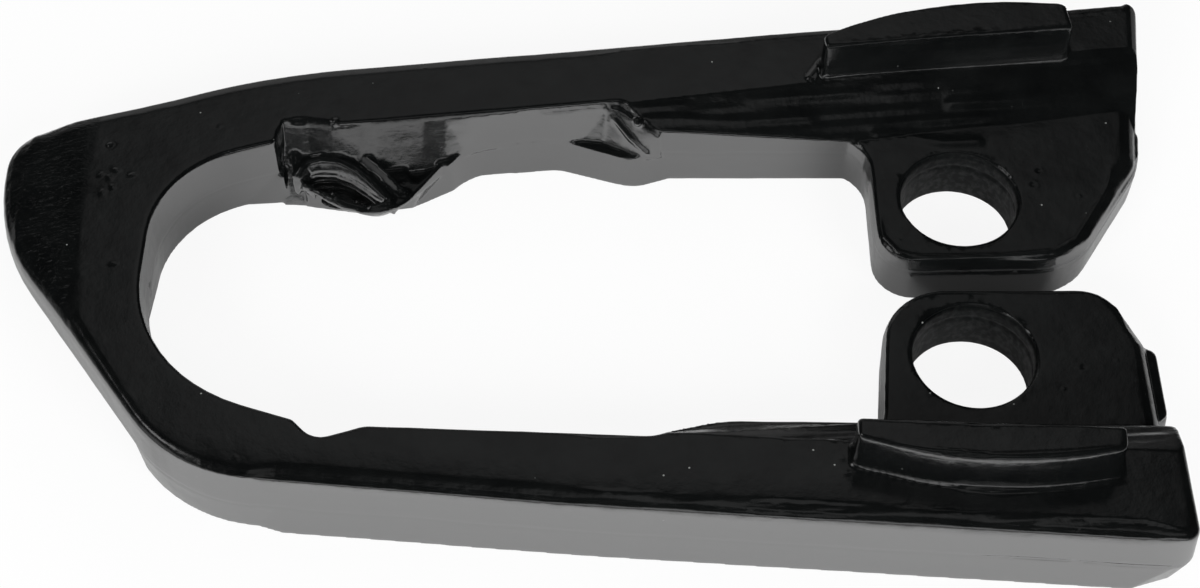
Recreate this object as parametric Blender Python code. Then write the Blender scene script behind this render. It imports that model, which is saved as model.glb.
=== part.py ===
"""Chain guide of a motorcycle swingarm: one loop of moulded black rubber.

Two arms run from a round nose, under and over the swingarm, to two lugs that face
each other and take the bolts. The loop is drawn about the middle point between the two
bolts: +X towards the open ends of the arms, +Y towards the upper arm, +Z up from the
flat back. At the end the whole is moved so that its box stands centred on the origin.
"""
import math
from collections import namedtuple

import bmesh
import bpy
from mathutils import Matrix, Vector

MM = 0.001

# Main sizes: from the nose tip to the end of the lower arm, across both arms at the bolts,
# and how far the middle between the arms lies above the middle between the bolts
GUIDE_LENGTH = 200.5 * MM
GUIDE_WIDTH = 112.9 * MM
ARM_OFFSET = 1.95 * MM

# Thickness of the moulding, measured up from its flat back
BODY_THICKNESS = 16.0 * MM
PARTING_HEIGHT = 8.0 * MM
LUG_THICKNESS = 10.8 * MM
SHELF_HEIGHT = 7.5 * MM
SHELF_LAND = 0.8 * MM
RIB_HEIGHT = 8.0 * MM
PAD_THICKNESS = 8.6 * MM

# Draft of the walls above the parting line, and rounding of the edges
DRAFT_UP = 0.35 * MM
BACK_EDGE = 0.3 * MM
INNER_EDGE = 0.6 * MM
LUG_EDGE = 0.7 * MM
LUG_SIDE_EDGE = 3.0 * MM
END_EDGE = 1.5 * MM
UPPER_END_EDGE = 2.9 * MM
UPPER_OUTER_EDGE = 3.6 * MM
LOWER_OUTER_EDGE = 2.8 * MM
HEEL_EDGE = 1.6 * MM
NOSE_EDGE = 3.2 * MM

# How far the back of a wall stands in from its parting line; below nothing, it flares out
INNER_FOOT = 0.3 * MM
UPPER_OUTER_FOOT = 0.8 * MM
SHOULDER_FOOT = 1.2 * MM
NOSE_TOP_FOOT = 2.4 * MM
NOSE_FOOT = 3.0 * MM
NOSE_SIDE_FOOT = 2.0 * MM
HEEL_FOOT = 0.7 * MM
LOWER_BOW_FOOT = -0.3 * MM
LOWER_OUTER_FOOT = 0.0
LOWER_END_FOOT = 2.4 * MM
ROUND_LOWER_FOOT = 1.8 * MM
ROUND_UPPER_FOOT = 1.0 * MM
NOTCH_FOOT = -0.6 * MM

# Arms: the lean of their outer sides, their width across, and where they end beyond the bolts
UPPER_ANGLE = 6.4
UPPER_ARM_WIDTH = 16.1 * MM
UPPER_END_X = 29.1 * MM
END_LEAN = 7.6
LOWER_ANGLE = -4.0
LOWER_BOW_AT = 103.5 * MM
LOWER_BOW_ANGLE = -5.4
LOWER_ARM_WIDTH = 14.0 * MM
LOWER_INNER_ANGLE = -2.4
LOWER_END_X = 30.0 * MM
ARM_FILLET = 130.0 * MM
BOW_FILLET = 400.0 * MM
UPPER_END_FILLET = 2.6 * MM
LOWER_END_FILLET = 3.0 * MM
UPPER_END_ZONE = 1.2 * MM
LOWER_END_ZONE = 9.0 * MM

# In what follows, AT is a distance from the nose tip along the guide, DROP a distance below
# the outer side of the upper arm at the bolts, and RISE one above that of the lower arm.

# Nose, which the chain runs round
SHOULDER_AT = 23.5 * MM
SHOULDER_DROP = 22.1 * MM
SHOULDER_ANGLE = 20.8
NOSE_TOP_ANGLE = 16.0
NOSE_SIDE_AT = 27.5 * MM
NOSE_SIDE_RISE = 25.3 * MM
NOSE_TIP_DROP = 49.0 * MM
NOSE_BEVEL_AT = 18.0 * MM
NOSE_BEVEL_LEAN = 7.7
NOSE_BEVEL_TOP_SLOPE = 0.30
NOSE_BEVEL_BACK_SLOPE = 0.24
NOSE_BEVEL_BLEND = 3.0 * MM
NOSE_BEVEL_STEP = 4.0 * MM
SHOULDER_FILLET = 15.0 * MM
NOSE_TOP_FILLET = 7.0 * MM
NOSE_SIDE_FILLET = 45.0 * MM
HEEL_FILLET = 28.0 * MM
HEEL_RUN = 17.0 * MM

# Round end of the opening, and the relief notches that end it on each arm
ROUND_END_AT = 29.0 * MM
ROUND_LOWER_AT = 54.9 * MM
ROUND_LOWER_RISE = 22.1 * MM
ROUND_LOWER_ANGLE = -18.9
ROUND_LOWER_FILLET = 28.5 * MM
ROUND_UPPER_AT = 48.0 * MM
ROUND_UPPER_DROP = 33.0 * MM
ROUND_UPPER_ANGLE = 17.7
ROUND_UPPER_FILLET = 19.0 * MM
UPPER_NOTCH_AT = 49.2 * MM
UPPER_NOTCH_DROP = 26.8 * MM
UPPER_NOTCH_LENGTH = 11.3 * MM
UPPER_NOTCH_LEAN = 0.4 * MM
UPPER_NOTCH_FILLET = 3.4 * MM
LOWER_NOTCH_AT = 60.7 * MM
LOWER_NOTCH_RISE = 17.5 * MM
LOWER_NOTCH_LENGTH = 7.8 * MM
LOWER_NOTCH_FILLET = 3.6 * MM
NOTCH_LIP_FILLET = 1.4 * MM
NOTCH_RUN_FILLET = 5.0 * MM

# Ledges: the flats of the opening that sit on the swingarm, and the ramps above them
LEDGE_UPPER_DROP = 27.9 * MM
LEDGE_UPPER_AT = 109.9 * MM
LEDGE_UPPER_ANGLE = -35.0
LEDGE_UPPER_FILLET = 3.0 * MM
LEDGE_LOWER_RISE = 22.3 * MM
LEDGE_LOWER_AT = 115.0 * MM
LEDGE_LOWER_ANGLE = 20.0
LEDGE_LOWER_FILLET = 20.0 * MM
LEDGE_LOWER_FOOT_FILLET = 6.0 * MM
LEDGE_END_FILLET = 1.5 * MM
RAMP_SLOPE = 0.49
RAMP_START_AT = 101.5 * MM
UPPER_RAMP_AT = 111.5 * MM
UPPER_RAMP_DROP = 23.4 * MM
UPPER_RAMP_ANGLE = 8.8

# Bolts and their lugs
BOLT_SPACING = 34.3 * MM
UPPER_BOLT_X = -0.4 * MM
LOWER_BOLT_X = -1.3 * MM
BORE_DIAMETER = 20.5 * MM
BORE_CHAMFER = 0.6 * MM
BORE_OVERCUT = 1.0 * MM
LUG_GAP = 5.8 * MM
LUG_GAP_ANGLE = 1.7
UPPER_LUG_LEFT_X = -15.9 * MM
UPPER_LUG_LEFT_FILLET = 7.5 * MM
UPPER_LUG_SLANT_X = 28.2 * MM
UPPER_LUG_SLANT_DROP = 40.0 * MM
UPPER_LUG_SLANT_ANGLE = 58.0
UPPER_LUG_SLANT_FILLET = 13.0 * MM
UPPER_LUG_SIDE_FILLET = 6.0 * MM
UPPER_LUG_ROOT_FILLET = 8.0 * MM
LOWER_LUG_LEFT_X = -17.6 * MM
LOWER_LUG_LEFT_LEAN = 5.5
LOWER_LUG_LEFT_FILLET = 11.0 * MM
LOWER_LUG_RIGHT_X = 28.6 * MM
LOWER_LUG_SLANT_X = 24.6 * MM
LOWER_LUG_SLANT_RISE = 48.1 * MM
LOWER_LUG_SLANT_ANGLE = -62.4
LOWER_LUG_SLANT_FILLET = 8.0 * MM
LOWER_LUG_SIDE_FILLET = 3.0 * MM
LOWER_LUG_ROOT_FILLET = 5.0 * MM
LUG_FLARE = 12.0
LUG_PROUD = 0.3 * MM
LUG_ROOT = 8.0 * MM
LUG_TAIL = 8.0 * MM

# Pads on the outer sides of the lugs
PAD_SLOPE = 2.5 * MM
PAD_FILLET = 2.0 * MM
PAD_ROOT = 4.0 * MM
UPPER_PAD_DROP = 32.3 * MM
UPPER_PAD_LENGTH = 11.5 * MM
UPPER_PAD_PROUD = 1.0 * MM
LOWER_PAD_RISE = 23.7 * MM
LOWER_PAD_LENGTH = 19.0 * MM
LOWER_PAD_PROUD = 1.8 * MM

# Leaf-shaped ribs that stand on the arms beside the lugs
RIB_EDGE = 0.6 * MM
RIB_SINK = 4.0 * MM
RIB_STRAIGHT_FILLET = 0.9 * MM
RIB_LEFT_FILLET = 1.4 * MM
RIB_RIGHT_FILLET = 2.4 * MM
UPPER_RIB_X = -0.9 * MM
UPPER_RIB_DROP = 14.7 * MM
UPPER_RIB_LENGTH = 45.9 * MM
UPPER_RIB_LEFT_WIDTH = 3.6 * MM
UPPER_RIB_RIGHT_WIDTH = 6.6 * MM
UPPER_RIB_CROWN = 3.4 * MM
LOWER_RIB_X = -2.6 * MM
LOWER_RIB_RISE = 15.3 * MM
LOWER_RIB_LENGTH = 42.7 * MM
LOWER_RIB_LEFT_WIDTH = 4.3 * MM
LOWER_RIB_RIGHT_WIDTH = 4.9 * MM
LOWER_RIB_CROWN = 2.9 * MM

# Step of the inner wall of the upper arm: its lower half swells into a bump, runs on as a
# band and ends in a wedge under the start of the ledge
STEP_EDGE = 0.3 * MM
STEP_FLARE = -1.1 * MM
STEP_ROOT = 6.0 * MM
BUMP_AT = 67.7 * MM
BUMP_DROP = 44.5 * MM
BUMP_LEFT_ANGLE = -31.8
BUMP_LEFT_FILLET = 14.0 * MM
BUMP_LEFT_FOOT = 0.2 * MM
BUMP_RIGHT_ANGLE = 51.1
BUMP_RADIUS = 9.0 * MM
BUMP_FOOT = 5.1 * MM
FLANK_RUN = 6.6 * MM
FLANK_FOOT = 2.7 * MM
BAND_PROUD = 0.2 * MM
BAND_FILLET = 12.0 * MM
BAND_RUN = 8.0 * MM
WEDGE_START_AT = 99.0 * MM
WEDGE_AT = 112.0 * MM
WEDGE_DROP = 29.2 * MM
WEDGE_FILLET = 8.0 * MM
WEDGE_FOOT = -0.7 * MM
WEDGE_END_AT = 124.5 * MM
WEDGE_END_INSET = 1.8 * MM

# Leaf that stands on the shelf of the bump, and the hollows on each side of it. The thick
# end of the leaf spreads back and up to the wall of the arm.
LEAF_BACK = 6.9 * MM
LEAF_RISE = 1.4 * MM
LEAF_RADIUS = 10.6 * MM
LEAF_WIDTH = 3.0 * MM
LEAF_HEIGHT = 3.0 * MM
LEAF_INNER_BEVEL = 0.4
LEAF_OUTER_BEVEL = 0.8
LEAF_SINK = 2.0 * MM
LEAF_THINNING = 0.6
LEAF_SINKING = 0.75
LEAF_START = 132.0
LEAF_END = 26.0
LEAF_SPREAD = 7.5 * MM
LEAF_SPREAD_RISE = 2.4 * MM
LEAF_SPREAD_SHARE = 0.62
POCKET_BACK = 6.0 * MM
POCKET_SET = 6.7 * MM
POCKET_ANGLE = -15.0
POCKET_LENGTH = 14.0 * MM
POCKET_BOW = 3.0 * MM
POCKET_DEPTH = 3.0 * MM
POCKET_FILLET = 0.3 * MM
WEB_DEPTH = 1.2 * MM
WEB_WIDTH = 9.0 * MM
WEB_SETBACK = 1.6 * MM
WEB_FILLET = 0.8 * MM

# Roundness of every arc: how far a facet may cut inside its curve, the turn in radians
# below which a corner counts as straight, and the share of a corner's radius that its
# walls may lean in by
ARC_TOLERANCE = 0.04 * MM
STRAIGHT = 0.002
CORNER_SHARE = 0.9
EDGE_SHARE = 0.98
EDGE_STEPS = 3
BORE_SEGMENTS = 48
LEAF_STEPS = 18
WELD = 0.001 * MM

RUBBER_COLOUR = (0.012, 0.013, 0.013, 1.0)
RUBBER_ROUGHNESS = 0.32

# Places that follow from the sizes
NOSE_TIP_X = LOWER_END_X - GUIDE_LENGTH
UPPER_OUTER_Y = GUIDE_WIDTH / 2 + ARM_OFFSET
LOWER_OUTER_Y = ARM_OFFSET - GUIDE_WIDTH / 2
SHOULDER_X = NOSE_TIP_X + SHOULDER_AT
SHOULDER_Y = UPPER_OUTER_Y - SHOULDER_DROP
NOSE_SIDE_X = NOSE_TIP_X + NOSE_SIDE_AT
NOSE_SIDE_Y = LOWER_OUTER_Y + NOSE_SIDE_RISE
NOSE_BEVEL_X = NOSE_TIP_X + NOSE_BEVEL_AT
UPPER_NOTCH_X = NOSE_TIP_X + UPPER_NOTCH_AT
UPPER_NOTCH_Y = UPPER_OUTER_Y - UPPER_NOTCH_DROP
LOWER_NOTCH_X = NOSE_TIP_X + LOWER_NOTCH_AT
LOWER_NOTCH_Y = LOWER_OUTER_Y + LOWER_NOTCH_RISE
LOWER_BOW_X = NOSE_TIP_X + LOWER_BOW_AT
LEDGE_UPPER_Y = UPPER_OUTER_Y - LEDGE_UPPER_DROP
LEDGE_LOWER_Y = LOWER_OUTER_Y + LEDGE_LOWER_RISE
BUMP_X = NOSE_TIP_X + BUMP_AT
BUMP_Y = UPPER_OUTER_Y - BUMP_DROP
WEDGE_START_X = NOSE_TIP_X + WEDGE_START_AT
WEDGE_END_X = NOSE_TIP_X + WEDGE_END_AT

Line = namedtuple("Line", "x y angle")
Corner = namedtuple("Corner", "x y fillet edge foot")
Station = namedtuple("Station", "point normal edge foot room")


def meet(first, second):
    """The point where two lines cross."""
    a = math.radians(first.angle)
    b = math.radians(second.angle)
    dx = second.x - first.x
    dy = second.y - first.y
    along = (dx * math.sin(b) - dy * math.cos(b)) / math.sin(b - a)
    return first.x + along * math.cos(a), first.y + along * math.sin(a)


def height_at(line, x):
    """The Y of a line at a given X."""
    return line.y + (x - line.x) * math.tan(math.radians(line.angle))


def shifted(line, distance):
    """A line moved square to itself, to its left where the distance is positive."""
    turn = math.radians(line.angle)
    return Line(line.x - distance * math.sin(turn), line.y + distance * math.cos(turn), line.angle)


def through(first, second):
    """The line through two points."""
    angle = math.degrees(math.atan2(second[1] - first[1], second[0] - first[0]))
    return Line(first[0], first[1], angle)


def on(line, x):
    """The point of a line at a given X."""
    return x, height_at(line, x)


def corner(point, fillet, edge, foot=INNER_FOOT):
    return Corner(point[0], point[1], fillet, edge, foot)


def bow(start, end, rise, edge, foot=0):
    """The corner whose fillet bows out between two points, to the right of the way there."""
    half = (end - start).length / 2
    flank = 2 * math.atan(rise / half)
    along = (end - start).normalized()
    crown = (start + end) / 2 + Vector((along.y, -along.x)) * half * math.tan(flank)
    return corner(crown, half / math.sin(flank), edge, foot)


def trace(corners):
    """Stations along an anticlockwise outline, with an arc at each filleted corner."""
    count = len(corners)
    points = [Vector((c.x, c.y)) for c in corners]
    ways = [points[(i + 1) % count] - points[i] for i in range(count)]
    turns = [-ways[i - 1].angle_signed(ways[i]) for i in range(count)]
    reaches = [c.fillet * math.tan(abs(turn) / 2) for c, turn in zip(corners, turns)]
    shares = [1.0] * count
    for i in range(count):
        wanted = reaches[i] + reaches[(i + 1) % count]
        if wanted > EDGE_SHARE * ways[i].length:
            share = EDGE_SHARE * ways[i].length / wanted
            shares[i] = min(shares[i], share)
            shares[(i + 1) % count] = min(shares[(i + 1) % count], share)
    stations = []
    for i, here in enumerate(corners):
        go_in = ways[i - 1].normalized()
        go_out = ways[i].normalized()
        turn = turns[i]
        if here.fillet == 0 or abs(turn) < STRAIGHT:
            mean = (go_in + go_out).normalized()
            outward = Vector((mean.y, -mean.x)) / math.cos(turn / 2)
            stations.append(Station(points[i], outward, here.edge, here.foot, math.inf))
            continue
        reach = reaches[i] * shares[i]
        radius = reach / math.tan(abs(turn) / 2)
        side = math.copysign(1, turn)
        start_normal = Vector((go_in.y, -go_in.x))
        centre = points[i] - go_in * reach - start_normal * side * radius
        step = 2 * math.acos(1 - ARC_TOLERANCE / max(radius, ARC_TOLERANCE))
        steps = max(2, math.ceil(abs(turn) / step))
        room = radius * CORNER_SHARE if side > 0 else math.inf
        for k in range(steps + 1):
            outward = start_normal.copy()
            outward.rotate(Matrix.Rotation(turn * k / steps, 2))
            place = centre + outward * side * radius
            stations.append(Station(place, outward, here.edge, here.foot, room))
    return stations


def side_profile(station, base, parting, top, draft):
    """Inset and height of each ring of the moulded side, from the back edge to the top edge."""
    back = min(BACK_EDGE, (parting - base) / 2)
    halfway = 1 - math.sqrt(0.5)
    foot = station.foot
    rings = [
        (foot + back, base),
        (foot + back * halfway, base + back * halfway),
        (foot * (1 - back / (parting - base)), base + back),
        (0.0, parting),
    ]
    for k in range(EDGE_STEPS + 1):
        angle = math.radians(90) * k / EDGE_STEPS
        inset = draft + station.edge * (1 - math.cos(angle))
        rings.append((inset, top - station.edge + station.edge * math.sin(angle)))
    return rings


def mould(name, corners, base, parting, top, draft=DRAFT_UP):
    """A closed solid whose sides follow an outline, with draft, parting line and rounded edges."""
    stations = trace(corners)
    bm = bmesh.new()
    columns = []
    for station in stations:
        column = []
        for inset, height in side_profile(station, base, parting, top, draft):
            place = station.point - station.normal * min(inset, station.room)
            column.append(bm.verts.new((place.x, place.y, height)))
        columns.append(column)
    for i, column in enumerate(columns):
        following = columns[(i + 1) % len(columns)]
        for k in range(len(column) - 1):
            bm.faces.new((column[k], following[k], following[k + 1], column[k + 1]))
    bm.faces.new([column[-1] for column in columns])
    bm.faces.new([column[0] for column in reversed(columns)])
    return finish_mesh(name, bm)


def finish_mesh(name, bm):
    bmesh.ops.recalc_face_normals(bm, faces=bm.faces)
    mesh = bpy.data.meshes.new(name)
    bm.to_mesh(mesh)
    bm.free()
    piece = bpy.data.objects.new(name, mesh)
    bpy.context.scene.collection.objects.link(piece)
    return piece


def turned(name, profile, x, y):
    """A solid turned about an upright axis, from a list of radius and height."""
    bm = bmesh.new()
    verts = [bm.verts.new((radius, 0, height)) for radius, height in profile]
    edges = [bm.edges.new(pair) for pair in zip(verts, verts[1:])]
    bmesh.ops.spin(bm, geom=verts + edges, axis=(0, 0, 1), cent=(0, 0, 0),
                   angle=math.tau, steps=BORE_SEGMENTS, use_merge=True)
    bmesh.ops.remove_doubles(bm, verts=bm.verts, dist=WELD)
    bmesh.ops.translate(bm, verts=bm.verts, vec=(x, y, 0))
    return finish_mesh(name, bm)


def prism(name, section, line, start, length):
    """A section, drawn as distance to the left of a line and height, drawn out along the line."""
    bm = bmesh.new()
    turn = math.radians(line.angle)
    ends = []
    for along in (start, start + length):
        ring = []
        for across, height in section:
            x = line.x + along * math.cos(turn) - across * math.sin(turn)
            y = line.y + along * math.sin(turn) + across * math.cos(turn)
            ring.append(bm.verts.new((x, y, height)))
        ends.append(ring)
    count = len(section)
    for i in range(count):
        j = (i + 1) % count
        bm.faces.new((ends[0][i], ends[0][j], ends[1][j], ends[1][i]))
    bm.faces.new(ends[0][::-1])
    bm.faces.new(ends[1])
    return finish_mesh(name, bm)


def combine(body, tool, operation):
    """Join a tool to the body or cut it away, then remove the tool."""
    tool.hide_render = True
    tool.display_type = "WIRE"
    boolean = body.modifiers.new(tool.name, "BOOLEAN")
    boolean.operation = operation
    boolean.solver = "EXACT"
    boolean.object = tool
    depsgraph = bpy.context.evaluated_depsgraph_get()
    shaped = bpy.data.meshes.new_from_object(body.evaluated_get(depsgraph))
    body.modifiers.clear()
    plain = body.data
    body.data = shaped
    bpy.data.meshes.remove(plain)
    bpy.data.objects.remove(tool)


def join(body, tool):
    combine(body, tool, "UNION")


def cut(body, tool):
    combine(body, tool, "DIFFERENCE")


UPPER_OUTER = Line(0, UPPER_OUTER_Y, UPPER_ANGLE)
UPPER_INNER = shifted(UPPER_OUTER, -UPPER_ARM_WIDTH)
UPPER_END = Line(UPPER_END_X, 0, 90 - END_LEAN)
UPPER_RAMP = Line(NOSE_TIP_X + UPPER_RAMP_AT, UPPER_OUTER_Y - UPPER_RAMP_DROP, UPPER_RAMP_ANGLE)
UPPER_LEDGE = Line(0, LEDGE_UPPER_Y, 0)
LOWER_OUTER = Line(0, LOWER_OUTER_Y, LOWER_ANGLE)
LOWER_BOW = Line(LOWER_BOW_X, height_at(LOWER_OUTER, LOWER_BOW_X), LOWER_BOW_ANGLE)
LOWER_INNER = Line(LOWER_BOW_X, LOWER_BOW.y + LOWER_ARM_WIDTH, LOWER_INNER_ANGLE)
LOWER_END = Line(LOWER_END_X, 0, 90)
LOWER_LUG_SIDE = Line(LOWER_LUG_RIGHT_X, 0, 90)
LOWER_LEDGE = Line(0, LEDGE_LOWER_Y, 0)
ROUND_END = Line(NOSE_TIP_X + ROUND_END_AT, 0, 90)
ROUND_UPPER = Line(NOSE_TIP_X + ROUND_UPPER_AT, UPPER_OUTER_Y - ROUND_UPPER_DROP, ROUND_UPPER_ANGLE)
ROUND_LOWER = Line(NOSE_TIP_X + ROUND_LOWER_AT, LOWER_OUTER_Y + ROUND_LOWER_RISE, ROUND_LOWER_ANGLE)


def arms_outline():
    """The two arms and the nose as one open loop, anticlockwise from the upper end."""
    shoulder = Line(SHOULDER_X, SHOULDER_Y, SHOULDER_ANGLE)
    nose_top = Line(SHOULDER_X, SHOULDER_Y, NOSE_TOP_ANGLE)
    nose_tip = Line(NOSE_TIP_X, 0, 90)
    nose_side = through((NOSE_SIDE_X, NOSE_SIDE_Y), (NOSE_TIP_X, UPPER_OUTER_Y - NOSE_TIP_DROP))
    heel = meet(nose_side, LOWER_BOW)
    upper_end = meet(UPPER_OUTER, UPPER_END)
    lower_end = meet(LOWER_OUTER, LOWER_END)
    outer = [
        corner(upper_end, UPPER_END_FILLET, UPPER_END_EDGE, UPPER_OUTER_FOOT),
        corner(on(UPPER_OUTER, upper_end[0] - UPPER_END_FILLET - UPPER_END_ZONE), 0,
               UPPER_OUTER_EDGE, UPPER_OUTER_FOOT),
        corner(meet(UPPER_OUTER, shoulder), ARM_FILLET, UPPER_OUTER_EDGE, UPPER_OUTER_FOOT),
        corner((SHOULDER_X, SHOULDER_Y), SHOULDER_FILLET, NOSE_EDGE, SHOULDER_FOOT),
        corner(meet(nose_top, nose_tip), NOSE_TOP_FILLET, NOSE_EDGE, NOSE_TOP_FOOT),
        corner(meet(nose_tip, nose_side), NOSE_SIDE_FILLET, NOSE_EDGE, NOSE_FOOT),
        corner((NOSE_SIDE_X, NOSE_SIDE_Y), 0, HEEL_EDGE, NOSE_SIDE_FOOT),
        corner(heel, HEEL_FILLET, HEEL_EDGE, HEEL_FOOT),
        corner(on(LOWER_BOW, heel[0] + HEEL_RUN), 0, LOWER_OUTER_EDGE, LOWER_BOW_FOOT),
        corner((LOWER_BOW_X, LOWER_BOW.y), BOW_FILLET, LOWER_OUTER_EDGE, LOWER_OUTER_FOOT),
        corner(on(LOWER_OUTER, LOWER_END_X - LOWER_END_ZONE), 0, LOWER_OUTER_EDGE, LOWER_OUTER_FOOT),
        corner(lower_end, LOWER_END_FILLET, END_EDGE, LOWER_END_FOOT),
    ]
    lower_start = on(LOWER_INNER, NOSE_TIP_X + LEDGE_LOWER_AT)
    lower_rise = Line(lower_start[0], lower_start[1], LEDGE_LOWER_ANGLE)
    upper_start = on(UPPER_INNER, NOSE_TIP_X + LEDGE_UPPER_AT)
    upper_fall = Line(upper_start[0], upper_start[1], LEDGE_UPPER_ANGLE)
    inner = [
        corner(meet(LOWER_END, LOWER_LEDGE), LEDGE_END_FILLET, END_EDGE),
        corner(meet(LOWER_LEDGE, lower_rise), LEDGE_LOWER_FILLET, INNER_EDGE),
        corner(lower_start, LEDGE_LOWER_FOOT_FILLET, INNER_EDGE),
        corner(on(LOWER_INNER, LOWER_NOTCH_X + LOWER_NOTCH_LENGTH), NOTCH_RUN_FILLET, INNER_EDGE),
        corner((LOWER_NOTCH_X, LOWER_NOTCH_Y), LOWER_NOTCH_FILLET, INNER_EDGE),
        corner(on(ROUND_LOWER, LOWER_NOTCH_X - LOWER_NOTCH_FILLET), NOTCH_LIP_FILLET, INNER_EDGE),
        corner(meet(ROUND_LOWER, ROUND_END), ROUND_LOWER_FILLET, INNER_EDGE, ROUND_LOWER_FOOT),
        corner(meet(ROUND_END, ROUND_UPPER), ROUND_UPPER_FILLET, INNER_EDGE, ROUND_UPPER_FOOT),
        corner(on(ROUND_UPPER, UPPER_NOTCH_X), NOTCH_LIP_FILLET, INNER_EDGE, NOTCH_FOOT),
        corner((UPPER_NOTCH_X + UPPER_NOTCH_LEAN, UPPER_NOTCH_Y), UPPER_NOTCH_FILLET, INNER_EDGE),
        corner(on(UPPER_INNER, UPPER_NOTCH_X + UPPER_NOTCH_LENGTH), NOTCH_RUN_FILLET, INNER_EDGE,
               STEP_FLARE),
        corner(upper_start, LEDGE_END_FILLET, INNER_EDGE, STEP_FLARE),
        corner(meet(upper_fall, UPPER_LEDGE), LEDGE_UPPER_FILLET, INNER_EDGE),
        corner(meet(UPPER_LEDGE, UPPER_END), LEDGE_END_FILLET, END_EDGE),
    ]
    return outer + inner


def bevel_nose(arms):
    """Thin the nose to its tip, from the back and from the top, past a line across it."""
    lean = math.radians(NOSE_BEVEL_LEAN)
    across = Vector((math.cos(lean), math.sin(lean), 0))
    border = Vector((NOSE_BEVEL_X, 0, 0))
    depth = border.x - NOSE_TIP_X + NOSE_BEVEL_STEP / 2
    bm = bmesh.new()
    bm.from_mesh(arms.data)
    stops = [0.0, 0.5 * NOSE_BEVEL_BLEND, NOSE_BEVEL_BLEND]
    while stops[-1] + NOSE_BEVEL_STEP < depth:
        stops.append(stops[-1] + NOSE_BEVEL_STEP)
    for stop in stops:
        geometry = bm.verts[:] + bm.edges[:] + bm.faces[:]
        bmesh.ops.bisect_plane(bm, geom=geometry, dist=WELD / 10,
                               plane_co=border - across * stop, plane_no=across)
    for vert in bm.verts:
        past = (border - vert.co).dot(across)
        if past <= 0:
            continue
        if past < NOSE_BEVEL_BLEND:
            run = past * past / (2 * NOSE_BEVEL_BLEND)
        else:
            run = past - NOSE_BEVEL_BLEND / 2
        above = vert.co.z - PARTING_HEIGHT
        if above > 0:
            full = BODY_THICKNESS - PARTING_HEIGHT
            drop = NOSE_BEVEL_TOP_SLOPE * run
        else:
            full = PARTING_HEIGHT
            drop = NOSE_BEVEL_BACK_SLOPE * run
        vert.co.z = PARTING_HEIGHT + above * (1 - drop / full)
    bm.to_mesh(arms.data)
    bm.free()


def ramp_cutter(name, border, side):
    """The space above a ramp that falls from its border into the opening."""
    headroom = RIB_HEIGHT
    reach = (BODY_THICKNESS - BACK_EDGE) / RAMP_SLOPE
    section = [
        (0, BODY_THICKNESS),
        (0, BODY_THICKNESS + headroom),
        (side * reach, BODY_THICKNESS + headroom),
        (side * reach, BACK_EDGE),
    ]
    start = NOSE_TIP_X + RAMP_START_AT - border.x
    return prism(name, section, border, start, GUIDE_LENGTH)


def upper_lug():
    left = Line(UPPER_LUG_LEFT_X, 0, 90)
    gap_side = Line(0, LUG_GAP / 2, LUG_GAP_ANGLE)
    slant = Line(UPPER_LUG_SLANT_X, UPPER_OUTER_Y - UPPER_LUG_SLANT_DROP, UPPER_LUG_SLANT_ANGLE)
    right = shifted(UPPER_END, -LUG_PROUD)
    root = Line(0, LEDGE_UPPER_Y + LUG_ROOT, UPPER_ANGLE)
    flare = Line(UPPER_LUG_LEFT_X, LEDGE_UPPER_Y, -LUG_FLARE)
    tail = UPPER_LUG_LEFT_X - LUG_TAIL
    outline = [
        corner(meet(left, gap_side), UPPER_LUG_LEFT_FILLET, LUG_EDGE),
        corner(meet(gap_side, slant), UPPER_LUG_SLANT_FILLET, LUG_SIDE_EDGE / 2),
        corner(meet(slant, right), UPPER_LUG_SIDE_FILLET, LUG_SIDE_EDGE),
        corner(meet(right, root), 0, LUG_SIDE_EDGE),
        corner(on(root, tail), 0, LUG_EDGE),
        corner(on(flare, tail), 0, LUG_EDGE),
        corner((UPPER_LUG_LEFT_X, LEDGE_UPPER_Y), UPPER_LUG_ROOT_FILLET, LUG_EDGE),
    ]
    return mould("upper_lug", outline, 0, PARTING_HEIGHT, LUG_THICKNESS)


def lower_lug():
    left = Line(LOWER_LUG_LEFT_X, -BOLT_SPACING / 2 - BORE_DIAMETER / 2, 90 - LOWER_LUG_LEFT_LEAN)
    gap_side = Line(0, -LUG_GAP / 2, LUG_GAP_ANGLE)
    slant = Line(LOWER_LUG_SLANT_X, LOWER_OUTER_Y + LOWER_LUG_SLANT_RISE, LOWER_LUG_SLANT_ANGLE)
    root = Line(0, LEDGE_LOWER_Y - LUG_ROOT, 0)
    seat = meet(left, LOWER_LEDGE)
    flare = Line(seat[0], seat[1], LUG_FLARE)
    tail = seat[0] - LUG_TAIL
    outline = [
        corner(meet(left, gap_side), LOWER_LUG_LEFT_FILLET, LUG_EDGE),
        corner(seat, LOWER_LUG_ROOT_FILLET, LUG_EDGE),
        corner(on(flare, tail), 0, LUG_EDGE),
        corner(on(root, tail), 0, LUG_EDGE),
        corner(meet(root, LOWER_LUG_SIDE), 0, LUG_SIDE_EDGE),
        corner(meet(LOWER_LUG_SIDE, slant), LOWER_LUG_SIDE_FILLET, LUG_SIDE_EDGE),
        corner(meet(slant, gap_side), LOWER_LUG_SLANT_FILLET, LUG_SIDE_EDGE / 2),
    ]
    return mould("lower_lug", outline, 0, PARTING_HEIGHT, LUG_THICKNESS)


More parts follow.
